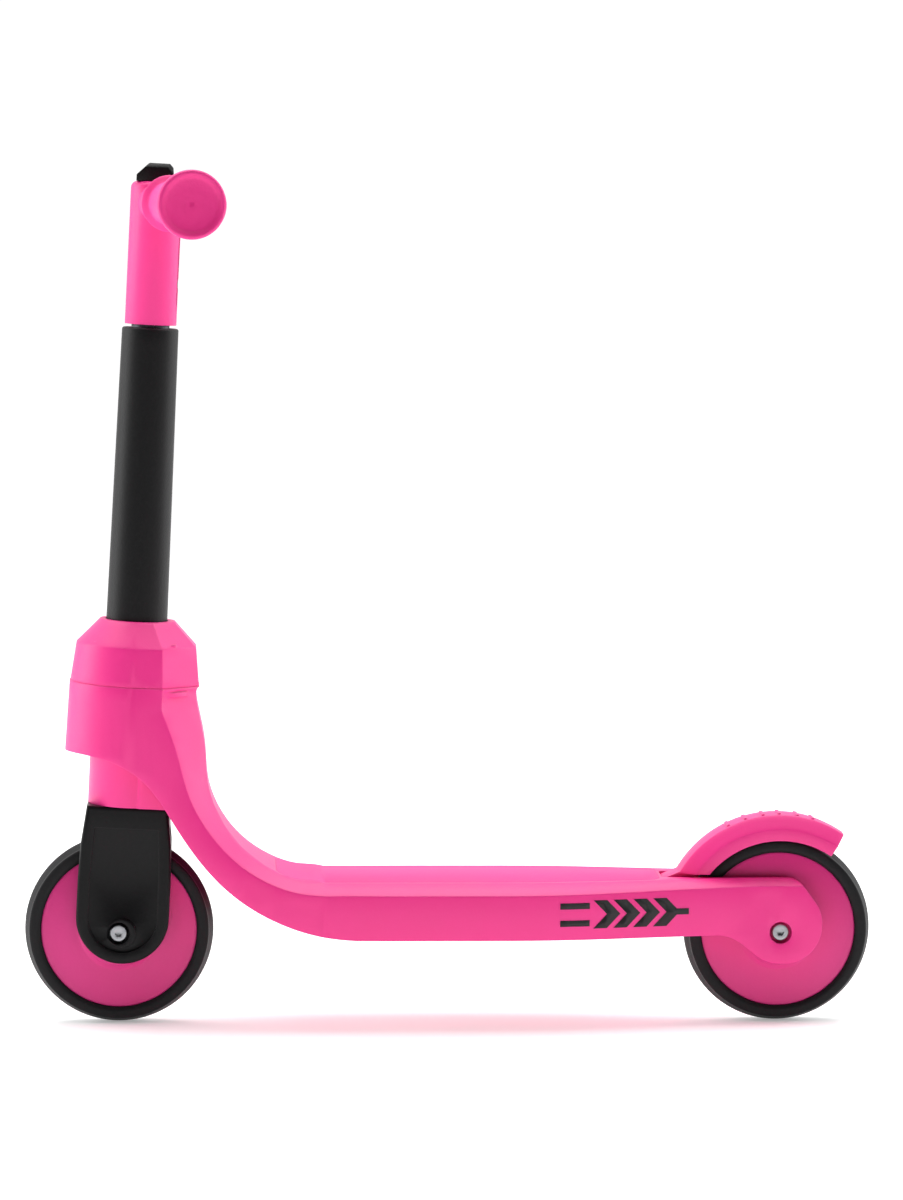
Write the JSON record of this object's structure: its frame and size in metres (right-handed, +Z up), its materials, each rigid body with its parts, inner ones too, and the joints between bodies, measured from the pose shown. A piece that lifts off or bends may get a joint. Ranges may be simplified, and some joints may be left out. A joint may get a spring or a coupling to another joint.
{
  "type": "kick scooter",
  "caption": "Low toddler's two-wheel kick scooter: one-piece moulded deck, turning T-bar and fork, spinning wheels and a sprung fender brake.",
  "frame": {"origin": "on the ground on the mid-plane, midway between the two wheels, which is the bottom centre of the bounding box", "axes": "+X towards the rear wheel, +Y towards the scooter's right side, +Z up"},
  "size_m": [0.6322, 0.3082, 0.6373],
  "materials": {
    "pink_plastic": "satin moulded plastic, hot pink",
    "pink_tread": "fine-textured plastic, hot pink",
    "wheel_pink": "smooth moulded plastic, hot pink",
    "pink_grip": "soft satin rubber, hot pink",
    "black_plastic": "satin moulded plastic, black",
    "black_ink": "flat black decoration",
    "tyre": "smooth black polyurethane",
    "pad_rubber": "hard dark rubber",
    "nylon": "natural nylon",
    "steel": "zinc-plated steel",
    "steel_tube": "dark coated steel tube"
  },
  "bodies": {
    "frame": {"deck_body": "pink_plastic", "tread_panel": "pink_tread", "side_motif": "black_ink", "head_cap": "pink_plastic", "head_screws": "steel", "lower_bush": "nylon", "upper_bush": "nylon", "rear_axle_bolt": "steel", "rear_axle_nut": "steel", "rear_axle_spacers": "steel", "rear_hub_spacer": "steel", "rear_bearing_inner": "steel", "brake_pivot_pin": "steel", "pin_keepers": "pink_plastic", "brake_spring": "steel"},
    "steering": {"steerer": "pink_plastic", "retaining_ring": "steel", "fork": "black_plastic", "crown_bolt": "steel", "column_core": "steel_tube", "column_tube": "black_plastic", "lower_cross_pin": "steel", "handlebar": "pink_plastic", "upper_cross_screw": "steel", "stem_cap": "black_plastic", "left_grip": "pink_grip", "right_grip": "pink_grip", "front_axle_bolt": "steel", "front_axle_nut": "steel", "front_axle_spacers": "steel", "front_hub_spacer": "steel", "front_bearing_inner": "steel"},
    "front_wheel": {"front_tyre": "tyre", "front_wheel_core": "wheel_pink", "front_bearing_outer": "steel", "front_bearing_balls": "steel"},
    "rear_wheel": {"rear_tyre": "tyre", "rear_wheel_core": "wheel_pink", "rear_bearing_outer": "steel", "rear_bearing_balls": "steel"},
    "brake": {"rear_fender": "pink_plastic", "brake_pad": "pad_rubber"}
  },
  "joints": [
    {"name": "steering_turn", "type": "hinge", "parent": "frame", "child": "steering", "pos_m": [-0.24366, 0, 0.07], "axis": [0.0454, 0, 0.999], "range_deg": [-45, 45]},
    {"name": "front_wheel_spin", "type": "hinge", "parent": "steering", "child": "front_wheel", "pos_m": [-0.246, 0, 0.07], "axis": [0, 1, 0], "continuous": true},
    {"name": "rear_wheel_spin", "type": "hinge", "parent": "frame", "child": "rear_wheel", "pos_m": [0.246, 0, 0.07], "axis": [0, 1, 0], "continuous": true},
    {"name": "brake_press", "type": "hinge", "parent": "frame", "child": "brake", "pos_m": [0.169, 0, 0.097], "axis": [0, 1, 0], "range_deg": [0, 3], "stiffness_Nm_per_rad": 2, "springref_deg": -5.73}
  ]
}
